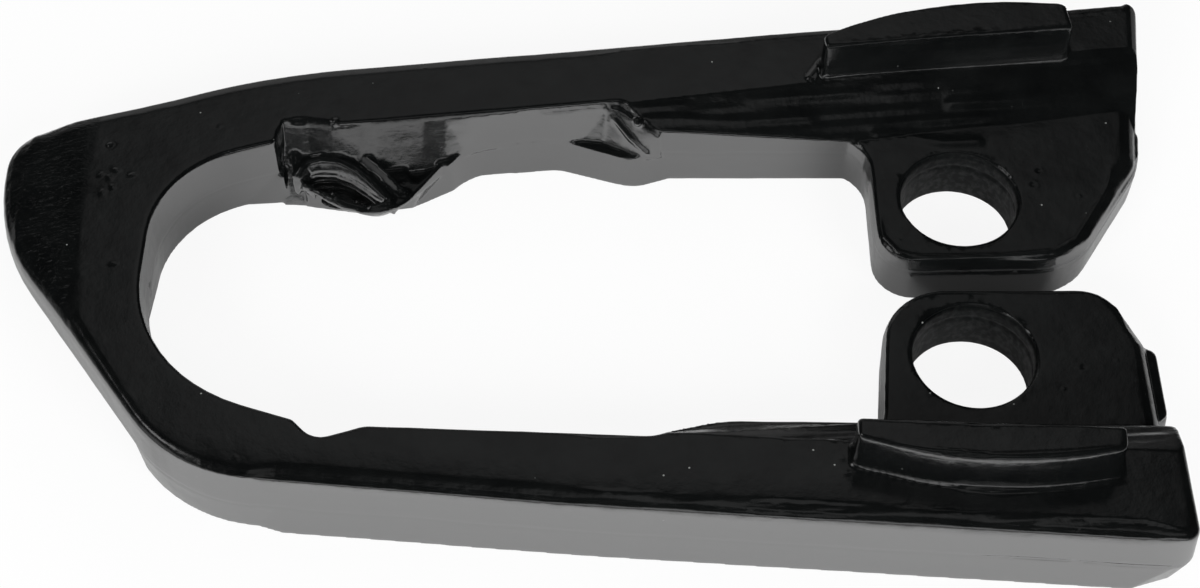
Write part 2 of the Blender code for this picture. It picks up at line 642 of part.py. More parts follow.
def pad(name, side, start_y, length, proud):
    """A low pad that stands proud of the outer side of a lug."""
    turn = math.radians(side.angle)
    foot = Vector((side.x + (start_y - side.y) / math.tan(turn), start_y))
    along = Vector((math.cos(turn), math.sin(turn)))
    out = Vector((along.y, -along.x))
    tip = foot + along * length
    outline = [
        corner(foot - out * PAD_ROOT, 0, LUG_EDGE),
        corner(foot + out * proud + along * PAD_SLOPE, PAD_FILLET, LUG_EDGE),
        corner(tip + out * proud - along * PAD_SLOPE, PAD_FILLET, LUG_EDGE),
        corner(tip - out * PAD_ROOT, 0, LUG_EDGE),
    ]
    return mould(name, outline, BACK_EDGE, PAD_THICKNESS / 2, PAD_THICKNESS)


def rib(name, border, side, length, left_width, right_width, crown):
    """A rib whose straight side follows a line and whose other side swells to the given side."""
    turn = math.radians(border.angle)
    along = Vector((math.cos(turn), math.sin(turn)))
    out = Vector((-along.y, along.x)) * side
    left = Vector((border.x, border.y)) - along * length / 2
    right = left + along * length
    left_out = left + out * left_width
    right_out = right + out * right_width
    near_left = corner(left, RIB_STRAIGHT_FILLET, RIB_EDGE, 0)
    near_right = corner(right, RIB_STRAIGHT_FILLET, RIB_EDGE, 0)
    far_left = corner(left_out, RIB_LEFT_FILLET, RIB_EDGE, 0)
    far_right = corner(right_out, RIB_RIGHT_FILLET, RIB_EDGE, 0)
    if side > 0:
        swell = bow(right_out, left_out, crown, RIB_EDGE)
        outline = [near_left, near_right, far_right, swell, far_left]
    else:
        swell = bow(left_out, right_out, crown, RIB_EDGE)
        outline = [near_right, near_left, far_left, swell, far_right]
    base = BODY_THICKNESS - RIB_SINK
    return mould(name, outline, base, BODY_THICKNESS - RIB_SINK / 4, BODY_THICKNESS + RIB_HEIGHT)


def upper_rib():
    border = Line(UPPER_RIB_X, UPPER_OUTER_Y - UPPER_RIB_DROP, UPPER_ANGLE)
    return rib("upper_rib", border, 1, UPPER_RIB_LENGTH, UPPER_RIB_LEFT_WIDTH,
               UPPER_RIB_RIGHT_WIDTH, UPPER_RIB_CROWN)


def lower_rib():
    border = Line(LOWER_RIB_X, LOWER_OUTER_Y + LOWER_RIB_RISE, LOWER_INNER_ANGLE)
    return rib("lower_rib", border, -1, LOWER_RIB_LENGTH, LOWER_RIB_LEFT_WIDTH,
               LOWER_RIB_RIGHT_WIDTH, LOWER_RIB_CROWN)


def inner_step():
    """The lower half of the upper arm's inner wall: bump, band and wedge in one run."""
    left = Line(BUMP_X, BUMP_Y, BUMP_LEFT_ANGLE)
    right = Line(BUMP_X, BUMP_Y, BUMP_RIGHT_ANGLE)
    band = shifted(UPPER_INNER, -BAND_PROUD)
    root = shifted(UPPER_INNER, STEP_ROOT)
    left_foot = meet(left, ROUND_UPPER)
    left_end = UPPER_NOTCH_X - UPPER_NOTCH_FILLET
    wedge = (NOSE_TIP_X + WEDGE_AT, UPPER_OUTER_Y - WEDGE_DROP)
    outline = [
        corner((BUMP_X, BUMP_Y), BUMP_RADIUS, STEP_EDGE, BUMP_FOOT),
        corner(on(right, BUMP_X + FLANK_RUN), 0, STEP_EDGE, FLANK_FOOT),
        corner(meet(right, band), BAND_FILLET, STEP_EDGE, STEP_FLARE / 2),
        corner(on(band, WEDGE_START_X - BAND_RUN), 0, STEP_EDGE, STEP_FLARE),
        corner(on(band, WEDGE_START_X), WEDGE_FILLET, STEP_EDGE, STEP_FLARE),
        corner(wedge, WEDGE_FILLET, STEP_EDGE, WEDGE_FOOT),
        corner((WEDGE_END_X, LEDGE_UPPER_Y + WEDGE_END_INSET), 0, STEP_EDGE),
        corner(on(root, WEDGE_END_X), 0, STEP_EDGE),
        corner(on(root, left_end), 0, STEP_EDGE),
        corner((left_end, left_foot[1]), 0, STEP_EDGE),
        corner(left_foot, BUMP_LEFT_FILLET, STEP_EDGE, BUMP_LEFT_FOOT),
    ]
    return mould("inner_step", outline, 0, SHELF_HEIGHT - SHELF_LAND, SHELF_HEIGHT, 0)


def leaf():
    """A curled leaf that stands on the shelf of the bump: an arc of wall that thins and sinks."""
    bm = bmesh.new()
    base = SHELF_HEIGHT - LEAF_SINK
    middle = Vector((BUMP_X - LEAF_BACK, BUMP_Y + LEAF_RISE))
    rings = []
    for k in range(LEAF_STEPS + 1):
        share = k / LEAF_STEPS
        angle = math.radians(LEAF_START + (LEAF_END - LEAF_START) * share)
        half = LEAF_WIDTH / 2 * (1 - LEAF_THINNING * share * share)
        crest = SHELF_HEIGHT + LEAF_HEIGHT * (1 - LEAF_SINKING * share * share)
        spread = max(0, 1 - share / LEAF_SPREAD_SHARE)
        outside = LEAF_RADIUS + half + LEAF_SPREAD * spread
        outside_top = crest - LEAF_OUTER_BEVEL * half + (LEAF_SPREAD_RISE + half) * spread
        ring = []
        inside = LEAF_RADIUS - half
        inside_top = crest - LEAF_INNER_BEVEL * half
        for radius, height in ((inside, base), (inside, inside_top), (LEAF_RADIUS, crest),
                               (outside, outside_top), (outside, base)):
            x = middle.x + radius * math.cos(angle)
            y = middle.y + radius * math.sin(angle)
            ring.append(bm.verts.new((x, y, height)))
        rings.append(ring)
    for ring, following in zip(rings, rings[1:]):
        for i in range(len(ring)):
            j = (i + 1) % len(ring)
            bm.faces.new((ring[i], ring[j], following[j], following[i]))
    bm.faces.new(rings[0][::-1])
    bm.faces.new(rings[-1])
    return finish_mesh("leaf", bm)


def pocket():
    """The lens-shaped hollow between the leaf and the rim of the bump."""
    turn = math.radians(POCKET_ANGLE)
    along = Vector((math.cos(turn), math.sin(turn))) * POCKET_LENGTH / 2
    middle = Vector((BUMP_X - POCKET_BACK, BUMP_Y + POCKET_SET))
    left = middle - along
    right = middle + along
    outline = [
        corner(left, POCKET_FILLET, STEP_EDGE, 0),
        bow(left, right, POCKET_BOW, STEP_EDGE),
        corner(right, POCKET_FILLET, STEP_EDGE, 0),
        bow(right, left, POCKET_BOW, STEP_EDGE),
    ]
    base = SHELF_HEIGHT - POCKET_DEPTH
    return mould("pocket", outline, base, SHELF_HEIGHT, SHELF_HEIGHT + 2 * LEAF_HEIGHT, 0)


def web_pocket():
    """The shallow three-sided hollow between the leaf and the right flank of the bump."""
    flank = shifted(Line(BUMP_X, BUMP_Y, BUMP_RIGHT_ANGLE), WEB_SETBACK)
    wall = shifted(UPPER_INNER, -WEB_SETBACK)
    turn = math.radians(BUMP_RIGHT_ANGLE)
    far = Vector(meet(flank, wall))
    near = far - Vector((math.cos(turn), math.sin(turn))) * WEB_WIDTH
    left = Vector(on(wall, far.x - WEB_WIDTH))
    outline = [
        corner(near, WEB_FILLET, STEP_EDGE, 0),
        corner(far, WEB_FILLET, STEP_EDGE, 0),
        corner(left, WEB_FILLET, STEP_EDGE, 0),
    ]
    base = SHELF_HEIGHT - WEB_DEPTH
    return mould("web_pocket", outline, base, SHELF_HEIGHT, SHELF_HEIGHT + LEAF_HEIGHT, 0)


def bore(name, x, y):
    radius = BORE_DIAMETER / 2
    rim = radius + BORE_CHAMFER
    over = BORE_OVERCUT
    clear = BODY_THICKNESS
    profile = [
        (0, -over),
        (rim + over, -over),
        (radius, BORE_CHAMFER),
        (radius, LUG_THICKNESS - BORE_CHAMFER),
        (rim + over, LUG_THICKNESS + over),
        (rim + over, clear),
        (0, clear),
    ]
    return turned(name, profile, x, y)


def rubber():
    material = bpy.data.materials.new("black_rubber")
    material.use_nodes = True
    shader = material.node_tree.nodes["Principled BSDF"]
    shader.inputs["Base Color"].default_value = RUBBER_COLOUR
    shader.inputs["Roughness"].default_value = RUBBER_ROUGHNESS
    shader.inputs["Metallic"].default_value = 0.0
    return material


def seat_on_origin(piece):
    """Move the mesh so that its box stands on the XY plane, centred on the origin."""
    verts = piece.data.vertices
    low = Vector(min(v.co[axis] for v in verts) for axis in range(3))
    high = Vector(max(v.co[axis] for v in verts) for axis in range(3))
    middle = (low + high) / 2
    piece.data.transform(Matrix.Translation((-middle.x, -middle.y, -low.z)))


def build():
    for old in list(bpy.data.objects):
        bpy.data.objects.remove(old)
    guide = mould("chain_guide", arms_outline(), 0, PARTING_HEIGHT, BODY_THICKNESS)
    bevel_nose(guide)
    cut(guide, ramp_cutter("upper_ramp", UPPER_RAMP, -1))
    cut(guide, ramp_cutter("lower_ramp", LOWER_INNER, 1))
    join(guide, upper_lug())
    join(guide, lower_lug())
    join(guide, pad("upper_pad", UPPER_END, UPPER_OUTER_Y - UPPER_PAD_DROP,
                    UPPER_PAD_LENGTH, UPPER_PAD_PROUD))
    join(guide, pad("lower_pad", LOWER_LUG_SIDE, LOWER_OUTER_Y + LOWER_PAD_RISE,
                    LOWER_PAD_LENGTH, LOWER_PAD_PROUD))
    join(guide, upper_rib())
    join(guide, lower_rib())
    join(guide, inner_step())
    cut(guide, web_pocket())
    join(guide, leaf())
    cut(guide, pocket())
    cut(guide, bore("upper_bore", UPPER_BOLT_X, BOLT_SPACING / 2))
    cut(guide, bore("lower_bore", LOWER_BOLT_X, -BOLT_SPACING / 2))
    seat_on_origin(guide)
    guide.data.materials.clear()
    guide.data.materials.append(rubber())
    guide.data.shade_smooth()
    guide.data.set_sharp_from_angle(angle=math.radians(30))
    return guide


build()
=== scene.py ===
import math

import bmesh
import bpy
import numpy as np
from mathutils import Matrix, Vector


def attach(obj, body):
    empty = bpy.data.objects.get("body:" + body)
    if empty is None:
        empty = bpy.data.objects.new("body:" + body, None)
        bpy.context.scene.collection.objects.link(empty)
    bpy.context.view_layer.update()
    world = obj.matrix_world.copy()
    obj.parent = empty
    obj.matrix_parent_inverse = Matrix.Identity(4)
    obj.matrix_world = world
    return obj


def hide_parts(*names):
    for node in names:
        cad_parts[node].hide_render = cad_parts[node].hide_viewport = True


MM = 0.001

# Skin: how near points of the CAD solid are joined, the size of the skin's first even faces,
# its passes of smoothing and its final count
WELD = 0.002 * MM
VOXEL = 0.36 * MM
SMOOTH_PASSES = 2
TRIANGLES = 188000

# The point midway between the bolts, seen from the middle of the part's box, in mm.
# Places on the guide are given from that point: x along it, y across it, z above its back.
MIDDLE = (66.744, -2.928)

# Middles of the two bores
BORES = [(-0.4, 17.15), (-1.3, -17.15)]

# The upper arm's inner wall: a place on it, its slope, and its step back behind the leaf
ARM_WALL_X = 1.79
ARM_WALL_Y = 42.4
ARM_WALL_SLOPE = 0.1122
ARM_STEP_X = -110.5
ARM_STEP_RUN = 7.0
ARM_STEP = 2.2

# Heights of the body's top, of the lugs' top and of the ribs' top
BODY_TOP = 16.0
LUG_TOP = 10.8
RIB_TOP = 24.0

# Foot of the room that is cut for the leaf's folds, just below the shelf, which is at 7.5
ROOM_FOOT = 7.43

# Where the rubber's finish changes, from none to full: away from a bore's middle, by height on
# the ribs and on the lugs, and along X on the nose and Y on the lower outer wall. These X and Y
# are seen from the middle of the part's box.
BORE_FINISH = (10.9, 10.4)
RIB_FINISH_Z = (16.6, 17.4)
LUG_FINISH_Z = (14.5, 11.5)
NOSE_FINISH_X = (-86.3, -87.2)
OUTER_FINISH_Y = (-40.0, -44.0)

# Rubber has an IOR of about 1.5. This one and the zones' specular levels were tuned to the
# photograph's tones under the studio below, and aren't known of the real rubber.
RUBBER_IOR = 2.6

# Floor: its colour inside a pool of light painted round the guide and its painted shade beyond, which only
# reflections see, the share of plain white that the camera sees in it, half the painted pool's length and
# width in m, and how far its painted light fades
FLOOR_LIT = 0.9
FLOOR_PAINTED_SHADE = 0.15
FLOOR_WHITE_SHARE = 0.9
LIT_HALF_X = 0.1
LIT_HALF_Y = 0.07
LIT_FADE = 0.05

# Strength of the world for rays that are neither the camera's nor reflections
WORLD_STRENGTH = 0.3

# Patches of light in the dim studio that reflections see instead of the white background:
# direction, cosines where the patch starts and is full, and its strengths outside and inside.
# Under an even white light the guide looks mid grey.
PATCHES = [
    ((0.0, 0.61, 0.79), 0.940, 0.994, 0.004, 0.085),
    ((-0.25, 0.95, 0.05), 0.80, 1.0, 0.0, 0.22),
    ((0.0, -1.0, -0.05), 0.80, 0.98, 0.0, 0.62),
    ((-0.65, 0.0, 0.76), 0.970, 0.990, 0.0, 0.9),
    ((0.05, -0.38, 0.92), 0.965, 0.990, 0.0, 0.10),
    ((-0.87, -0.49, 0.05), 0.84, 0.98, 0.0, 0.30),
]

# Camera: place in mm, tilt from straight down in degrees, and lens in mm
CAMERA = (2.744, -237.29, 308.55)
CAMERA_TILT = 37.7
CAMERA_LENS = 66

# Lamps: name, place in m, size in m and power in W
LAMPS = [
    ("front_left", (-0.8, -1.3, 0.8), 0.8, 24.0),
    ("front_right", (0.9, -1.2, 0.8), 0.8, 22.0),
    ("back", (0.2, 1.6, 0.9), 0.9, 8.0),
]


def in_metres(values):
    """Values in mm as metres."""
    return [value * MM for value in values]


def seat(point):
    """A place on the guide, in mm, as a place in the scene."""
    return Vector((point[0] + MIDDLE[0], point[1] + MIDDLE[1], point[2])) * MM


def closed(bm, name):
    """An object from a closed mesh whose faces may point either way."""
    bmesh.ops.recalc_face_normals(bm, faces=bm.faces)
    mesh = bpy.data.meshes.new(name)
    bm.to_mesh(mesh)
    bm.free()
    piece = bpy.data.objects.new(name, mesh)
    bpy.context.scene.collection.objects.link(piece)
    return piece


def block(name, footprint, low, high):
    """An upright block over a footprint."""
    bm = bmesh.new()
    bottom = [bm.verts.new(seat((x, y, low))) for x, y in footprint]
    top = [bm.verts.new(seat((x, y, high))) for x, y in footprint]
    bm.faces.new(bottom[::-1])
    bm.faces.new(top)
    for i in range(len(footprint)):
        j = (i + 1) % len(footprint)
        bm.faces.new((bottom[i], bottom[j], top[j], top[i]))
    return closed(bm, name)


def loft(name, sections):
    """A solid through sections that all have the same number of points."""
    bm = bmesh.new()
    rings = [[bm.verts.new(seat(point)) for point in section] for section in sections]
    for ring, following in zip(rings, rings[1:]):
        for i in range(len(ring)):
            j = (i + 1) % len(ring)
            bm.faces.new((ring[i], ring[j], following[j], following[i]))
    bm.faces.new(rings[0][::-1])
    bm.faces.new(rings[-1])
    bmesh.ops.triangulate(bm, faces=bm.faces)
    return closed(bm, name)


def folds(name, path):
    """Rounded folds along a path of places with a radius each: x, y, z, radius."""
    bm = bmesh.new()
    for first, second in zip(path, path[1:]):
        ball = bmesh.new()
        bmesh.ops.create_icosphere(ball, subdivisions=2, radius=1.0)
        ends = bmesh.new()
        for x, y, z, radius in (first, second):
            for vert in ball.verts:
                ends.verts.new(seat((x, y, z)) + vert.co * radius * MM)
        ball.free()
        bmesh.ops.convex_hull(ends, input=ends.verts)
        spare = [vert for vert in ends.verts if not vert.link_faces]
        bmesh.ops.delete(ends, geom=spare, context="VERTS")
        leg = bpy.data.meshes.new("leg")
        ends.to_mesh(leg)
        ends.free()
        bm.from_mesh(leg)
        bpy.data.meshes.remove(leg)
    return closed(bm, name)


def cut(body, tool):
    """Cut a tool out of the body and remove the tool."""
    trim = body.modifiers.new(tool.name, "BOOLEAN")
    trim.operation = "DIFFERENCE"
    trim.solver = "EXACT"
    trim.object = tool
    depsgraph = bpy.context.evaluated_depsgraph_get()
    shaped = bpy.data.meshes.new_from_object(body.evaluated_get(depsgraph))
    body.modifiers.clear()
    plain = body.data
    body.data = shaped
    bpy.data.meshes.remove(plain)
    drop(tool)


def drop(piece):
    """Remove an object and its mesh."""
    mesh = piece.data
    bpy.data.objects.remove(piece)
    bpy.data.meshes.remove(mesh)


def arm_wall(x):
    """Y of the upper arm's inner wall, which steps back behind the leaf."""
    back = min(max((ARM_STEP_X - x) / ARM_STEP_RUN, 0.0), 1.0)
    return ARM_WALL_Y + (x - ARM_WALL_X) * ARM_WALL_SLOPE + ARM_STEP * back


def leaning_wall(name, stops, low, high=15.3):
    """Fill under the upper arm's inner wall, so that it leans out to its foot at each stop."""
    sections = []
    for x, out in stops:
        y = arm_wall(x)
        sections.append([(x, y + 0.15, high), (x, y + 1.5, high), (x, y + 1.5, low), (x, y - out, low)])
    return loft(name, sections)


def crest(name, stops, back, sole, spread=0.25):
    """A crest along its stops with one steep face, to the right of the way, then an undercut.

    Each stop has x, y, z and the height of the steep face; back is the width behind the crest and
    spread the share of its height by which the face steps out.
    """
    path = [Vector(stop[:2]) for stop in stops]
    sections = []
    for i, (x, y, z, fall) in enumerate(stops):
        way_on = path[min(i + 1, len(stops) - 1)] - path[max(i - 1, 0)]
        way_on.normalize()
        out = Vector((way_on.y, -way_on.x))
        here = Vector((x, y))
        ring = []
        for across, height in ((-back, z - 0.35 * back), (-0.3 * back, z), (0.0, z - 0.15),
                               (0.3, z - 0.6), (0.3 + spread * fall, z - fall),
                               (0.0, z - fall - 0.5), (-0.4, sole), (-back, sole)):
            place = here + out * across
            ring.append((place.x, place.y, height))
        sections.append(ring)
    return loft(name, sections)


# Crests of the leaf: x, y, z and the height of the steep face
LEAF_LID = [
    (-118.2, 23.6, 9.2, 2.0), (-117.4, 25.0, 9.9, 2.8), (-116.6, 26.1, 10.2, 3.4),
    (-114.3, 26.8, 10.4, 3.8), (-111.2, 26.5, 10.4, 4.0), (-108.5, 25.0, 10.1, 3.8),
    (-105.8, 22.8, 9.6, 3.2), (-103.6, 20.7, 8.9, 2.4), (-101.4, 18.9, 8.1, 1.4),
]
LEAF_RIDGE = [
    (-109.5, 28.8, 10.0, 1.6), (-106.9, 28.0, 10.2, 2.2), (-104.6, 26.0, 10.2, 2.4),
    (-102.1, 23.4, 9.9, 2.4), (-100.1, 21.5, 9.2, 1.8), (-98.5, 20.8, 8.3, 0.9),
]

# Lumps and burst bubbles of the moulding: x, y, z, radius
LUMPS = [
    (-116.8, 22.7, 7.6, 0.75), (-113.5, 21.1, 7.6, 0.45), (-111.2, 19.8, 7.7, 0.6), (-110.2, 19.3, 7.5, 0.4),
    (-101.6, 18.5, 7.8, 0.55), (-111.3, 30.9, 15.5, 0.85), (-57.3, 32.0, 14.3, 0.8),
    (-99.4, 23.6, 6.8, 0.9), (-98.3, 23.9, 6.7, 0.7), (-112.2, 23.6, 4.2, 0.9), (-107.6, 21.6, 4.1, 1.1),
]


def open_leaf(body):
    """Cut the room for the leaf's folds, its eye and its leaning left end."""
    room = [(-121.6, 22.6), (-116.5, 21.6), (-110.0, 18.9), (-104.8, 17.3), (-100.0, 18.4),
            (-97.0, 21.8), (-90.4, 30.2), (-90.4, arm_wall(-90.4) - 0.02),
            (-110.0, arm_wall(-110.0) - 0.02), (-117.6, 31.0), (-120.0, 30.8), (-121.6, 27.8)]
    cut(body, block("leaf_room", room, ROOM_FOOT, 18.0))
    eye = [(-117.6, 23.9), (-115.0, 22.8), (-112.0, 20.9), (-109.0, 19.3), (-106.0, 18.3),
           (-103.0, 18.9), (-101.8, 19.2), (-104.5, 23.0), (-108.0, 25.8), (-112.0, 27.0), (-116.0, 26.6)]
    cut(body, block("eye", eye, 4.3, 9.0))
    lean = [(20.0, -1.0), (20.0, 17.0), (31.5, 17.0), (23.7, -1.0)]
    cut(body, loft("west_lean", [[(x, y, z) for y, z in lean] for x in (-121.03, -117.37)]))


def lip_flank(body):
    """Cut the lip along the bump's slanted side, wider towards the arm."""
    flank = Vector((math.cos(math.radians(51.1)), math.sin(math.radians(51.1))))
    square = Vector((flank.y, -flank.x))
    foot = Vector((-97.17, 21.07)) - flank * 0.5
    end = Vector((-89.84, 30.26)) - flank * 3.2
    sections = []
    for here, inside in ((foot, 0.06), (end, 0.9)):
        ring = []
        for across, height in ((0.6, 3.6), (0.6, 8.5), (-inside, 8.5), (-inside, 7.5), (0.0, 3.6)):
            place = here + square * across
            ring.append((place.x, place.y, height))
        sections.append(ring)
    cut(body, loft("flank_lip", sections))


def leaning_walls():
    """The fills that make the upper arm's inner wall lean out, over the leaf and over the wedge."""
    return [
        leaning_wall("arm_lean", [(-118.4, 3.6), (-112.0, 3.8), (-104.0, 4.2), (-96.0, 3.9),
                                  (-92.0, 3.0), (-88.0, 1.6), (-84.0, 0.7), (-79.0, 0.1)], 7.0),
        leaning_wall("wedge_lean", [(-75.0, 0.1), (-68.0, 1.1), (-62.5, 2.4), (-61.0, 2.6)], 7.0, 14.6),
    ]


def leaf_folds():
    """The fill at the leaf's left end, the leaf's lid and ridge, and the thumb beside the lid."""
    return [
        loft("west_fill", [[(x, y, z) for y, z in ((24.2, 0.2), (30.7, 15.2), (33.0, 15.2), (33.0, 0.2))]
                           for x in (-121.6, -117.0)]),
        crest("leaf_lid", LEAF_LID, 1.7, 3.6),
        crest("leaf_ridge", LEAF_RIDGE, 0.7, 6.8, 0.62),
        folds("thumb", [(-119.0, 28.0, 9.4, 0.9), (-118.5, 26.2, 8.2, 1.0), (-118.0, 24.6, 6.6, 1.0)]),
    ]


def wedge_folds():
    """The fold under the wall over the wedge, and the crease in it."""
    return [
        loft("wedge_fold", [
            [(-62.6, 35.2, 15.0), (-61.5, 36.8, 15.0), (-61.5, 36.8, 6.9), (-63.2, 32.6, 6.9)],
            [(-60.4, 34.7, 14.9), (-59.4, 36.2, 14.9), (-59.4, 36.2, 6.9), (-60.8, 31.4, 6.9)],
            [(-57.8, 32.9, 14.2), (-56.8, 34.4, 14.2), (-56.8, 34.4, 6.9), (-58.1, 30.1, 6.9)],
            [(-55.2, 31.2, 13.4), (-54.2, 32.8, 13.4), (-54.2, 32.8, 6.9), (-55.2, 29.3, 6.9)],
            [(-53.4, 30.3, 12.6), (-52.4, 32.0, 12.6), (-52.4, 32.0, 6.9), (-53.0, 29.6, 6.9)],
        ]),
        folds("wedge_crease", [(-61.2, 34.2, 12.6, 0.5), (-58.6, 31.9, 10.6, 0.6), (-55.6, 29.9, 8.4, 0.5)]),
    ]


def eye_rim():
    """The rim of the leaf's eye, and a streak on it."""
    return [
        folds("eye_rim", [(-117.3, 22.9, 7.0, 0.5), (-115.2, 22.1, 7.0, 0.55), (-112.4, 20.3, 6.9, 0.8),
                          (-109.6, 18.9, 6.8, 0.9), (-106.5, 17.9, 6.9, 0.7), (-103.4, 18.1, 7.2, 0.6),
                          (-101.0, 18.9, 7.2, 0.5)]),
        folds("rim_streak", [(-104.9, 17.9, 7.7, 0.35), (-102.4, 18.5, 7.9, 0.45)]),
    ]


def lump(x, y, z, radius):
    """A lump of the moulding, drawn out a little along the guide."""
    return folds("lump", [(x, y, z, radius), (x + 0.3, y + 0.1, z, radius * 0.8)])


def shaped_body(source):
    """The CAD solid with the folds that its inner wall shows, ready for the skin."""
    bm = bmesh.new()
    bm.from_mesh(source.data)
    bmesh.ops.remove_doubles(bm, verts=bm.verts, dist=WELD)
    body = closed(bm, "body")
    open_leaf(body)
    lip_flank(body)
    added = leaning_walls() + leaf_folds() + wedge_folds() + eye_rim() + [lump(*stop) for stop in LUMPS]
    bm = bmesh.new()
    bm.from_mesh(body.data)
    for piece in added:
        bm.from_mesh(piece.data)
        drop(piece)
    bm.to_mesh(body.data)
    bm.free()
    return body


def even_skin(source):
    """The shaped body remade as one fine skin, with the small rounds that moulding leaves."""
    body = shaped_body(source)
    remesh = body.modifiers.new("even_skin", "REMESH")
    remesh.mode = "VOXEL"
    remesh.voxel_size = VOXEL
    remesh.adaptivity = 0.0
    soften = body.modifiers.new("soft_edges", "SMOOTH")
    soften.factor = 0.5
    soften.iterations = SMOOTH_PASSES
    depsgraph = bpy.context.evaluated_depsgraph_get()
    mesh = bpy.data.meshes.new_from_object(body.evaluated_get(depsgraph))
    drop(body)
    return mesh


def thinned(mesh, name):
    """A lighter copy of a mesh: flat stretches get larger faces, detail keeps its own."""
    count = sum(len(face.vertices) - 2 for face in mesh.polygons)
    piece = bpy.data.objects.new(name, mesh)
    bpy.context.scene.collection.objects.link(piece)
    if count > TRIANGLES:
        decimate = piece.modifiers.new("fewer_faces", "DECIMATE")
        decimate.ratio = TRIANGLES / count
        depsgraph = bpy.context.evaluated_depsgraph_get()
        light = bpy.data.meshes.new_from_object(piece.evaluated_get(depsgraph))
        piece.modifiers.clear()
        piece.data = light
        bpy.data.meshes.remove(mesh)
    piece.data.shade_smooth()
    return piece


def lumps(points, size, seed):
    """Smooth noise from -1 to 1 at each point; size is that of a lump, one number or three."""
    cells = points / np.array(size) + 31.7 * (seed + 1)
    base = np.floor(cells).astype(np.int64)
    share = cells - base
    share = share * share * (3 - 2 * share)
    total = np.zeros(len(points))
    for corner in np.ndindex(2, 2, 2):
        cell = base + np.array(corner)
        mixed = cell[:, 0] * 73856093 ^ cell[:, 1] * 19349663 ^ cell[:, 2] * 83492791
        mixed = (mixed * 1103515245 + 12345 + seed) & 0x7FFFFFFF
        mixed = (mixed ^ mixed >> 13) * 1274126177 & 0x7FFFFFFF
        value = mixed / 0x3FFFFFFF - 1
        weight = np.prod(np.where(np.array(corner) == 1, share, 1 - share), axis=1)
        total += weight * value
    return total


def smooth(value, start, end):
    """A soft step from 0 to 1 between two values; the other way where start is the larger."""
    share = np.clip((value - start) / (end - start), 0, 1)
    return share * share * (3 - 2 * share)


def way(points, path):
    """Distance of each point from a path in space, and the share of the path passed there."""
    path = np.array(path, float)
    legs = path[1:] - path[:-1]
    lengths = np.linalg.norm(legs, axis=1)
    passed = np.concatenate([[0], np.cumsum(lengths)])
    nearest = np.full(len(points), np.inf)
    share = np.zeros(len(points))
    for start, leg, length, before in zip(path[:-1], legs, lengths, passed):
        along = np.clip((points - start) @ leg / length ** 2, 0, 1)
        far = np.linalg.norm(points - start - along[:, None] * leg, axis=1)
        closer = far < nearest
        nearest[closer] = far[closer]
        share[closer] = (before + along[closer] * length) / passed[-1]
    return nearest, share


def bead(points, path, height, width, taper=0.08):
    """A line raised above the skin, or a groove where its height is negative."""
    far, share = way(points, path)
    ends = smooth(share, 0, taper) * smooth(share, 1, 1 - taper) if taper else 1
    return height * np.exp(-(far / width) ** 2) * ends


def blister(points, place, height, radius, rim=0.0):
    """A round lump, or a pit where its height is negative, with a rim round it."""
    far = np.linalg.norm(points - np.array(place, float), axis=1) / radius
    return height * np.exp(-far ** 2 * 1.5) + rim * np.exp(-((far - 1.2) / 0.35) ** 2)


# Single streaks on the ramps: path, height, width
STREAKS = [
    ([(-15.5, 31.6, 12.0), (-9.0, 32.2, 12.2), (-2.0, 30.2, 11.6), (6.0, 30.6, 11.6)], 0.45, 1.1),
    ([(-2.0, 37.6, 13.4), (12.0, 38.6, 13.6), (27.0, 40.6, 13.8)], 0.40, 1.0),
    ([(8.0, 34.6, 12.4), (20.0, 35.6, 12.6), (28.0, 37.2, 12.8)], 0.30, 0.7),
    ([(-58.0, 33.4, 13.8), (-40.0, 33.4, 13.0), (-24.0, 34.8, 12.6)], 0.30, 0.9),
]

# Fine beads along the edges of the lugs and ribs, and the fold at the upper rib's left end:
# path, height, width
EDGE_BEADS = [
    ([(-14.9, 14.0, LUG_TOP), (-14.7, 8.6, LUG_TOP), (-12.3, 4.9, LUG_TOP), (-8.0, 3.9, LUG_TOP),
      (6.0, 4.3, LUG_TOP), (15.0, 5.2, LUG_TOP), (19.0, 8.0, LUG_TOP), (26.2, 19.5, LUG_TOP),
      (28.0, 26.0, LUG_TOP)], 0.22, 0.36),
    ([(-23.3, 41.6, RIB_TOP), (-0.8, 44.1, RIB_TOP), (21.6, 46.6, RIB_TOP)], 0.20, 0.34),
    ([(-23.6, -42.8, RIB_TOP), (-13.0, -44.9, RIB_TOP), (-2.6, -45.9, RIB_TOP), (8.0, -45.4, RIB_TOP),
      (18.2, -44.4, RIB_TOP)], 0.22, 0.34),
    ([(18.6, -44.0, RIB_TOP), (18.4, -40.4, RIB_TOP)], 0.2, 0.34),
    ([(-24.4, -43.6, 16.2), (-13.0, -46.2, 16.2), (-2.6, -47.2, 16.2), (8.0, -46.8, 16.2),
      (19.6, -45.4, 16.2)], 0.22, 0.40),
    ([(-21.8, 49.0, 17.2), (-24.6, 43.4, 16.2), (-26.3, 40.6, 16.0)], 0.55, 0.7),
]

# Lumps beside both ribs: place, height, radius
RIB_LUMPS = [
    ((-22.6, 46.8, 17.4), 0.4, 0.8), ((-25.4, -41.2, 16.6), 0.35, 0.7), ((-25.0, -44.0, 16.4), 0.3, 0.6),
]

# Flash marks in the round end and gouges in the arm's inner wall: path, height, width, taper
GOUGES = [
    ([(-142.0, -2.0, 9.5), (-140.4, 0.6, 9.5)], -0.3, 0.3, 0),
    ([(-142.2, -2.8, 7.6), (-140.6, -0.4, 7.6)], -0.3, 0.3, 0),
    ([(-92.5, 30.6, 12.0), (-84.0, 32.2, 12.2)], -0.14, 0.25, 0.3),
    ([(-101.0, 29.0, 12.4), (-97.0, 29.4, 12.4)], -0.10, 0.5, 0.4),
]

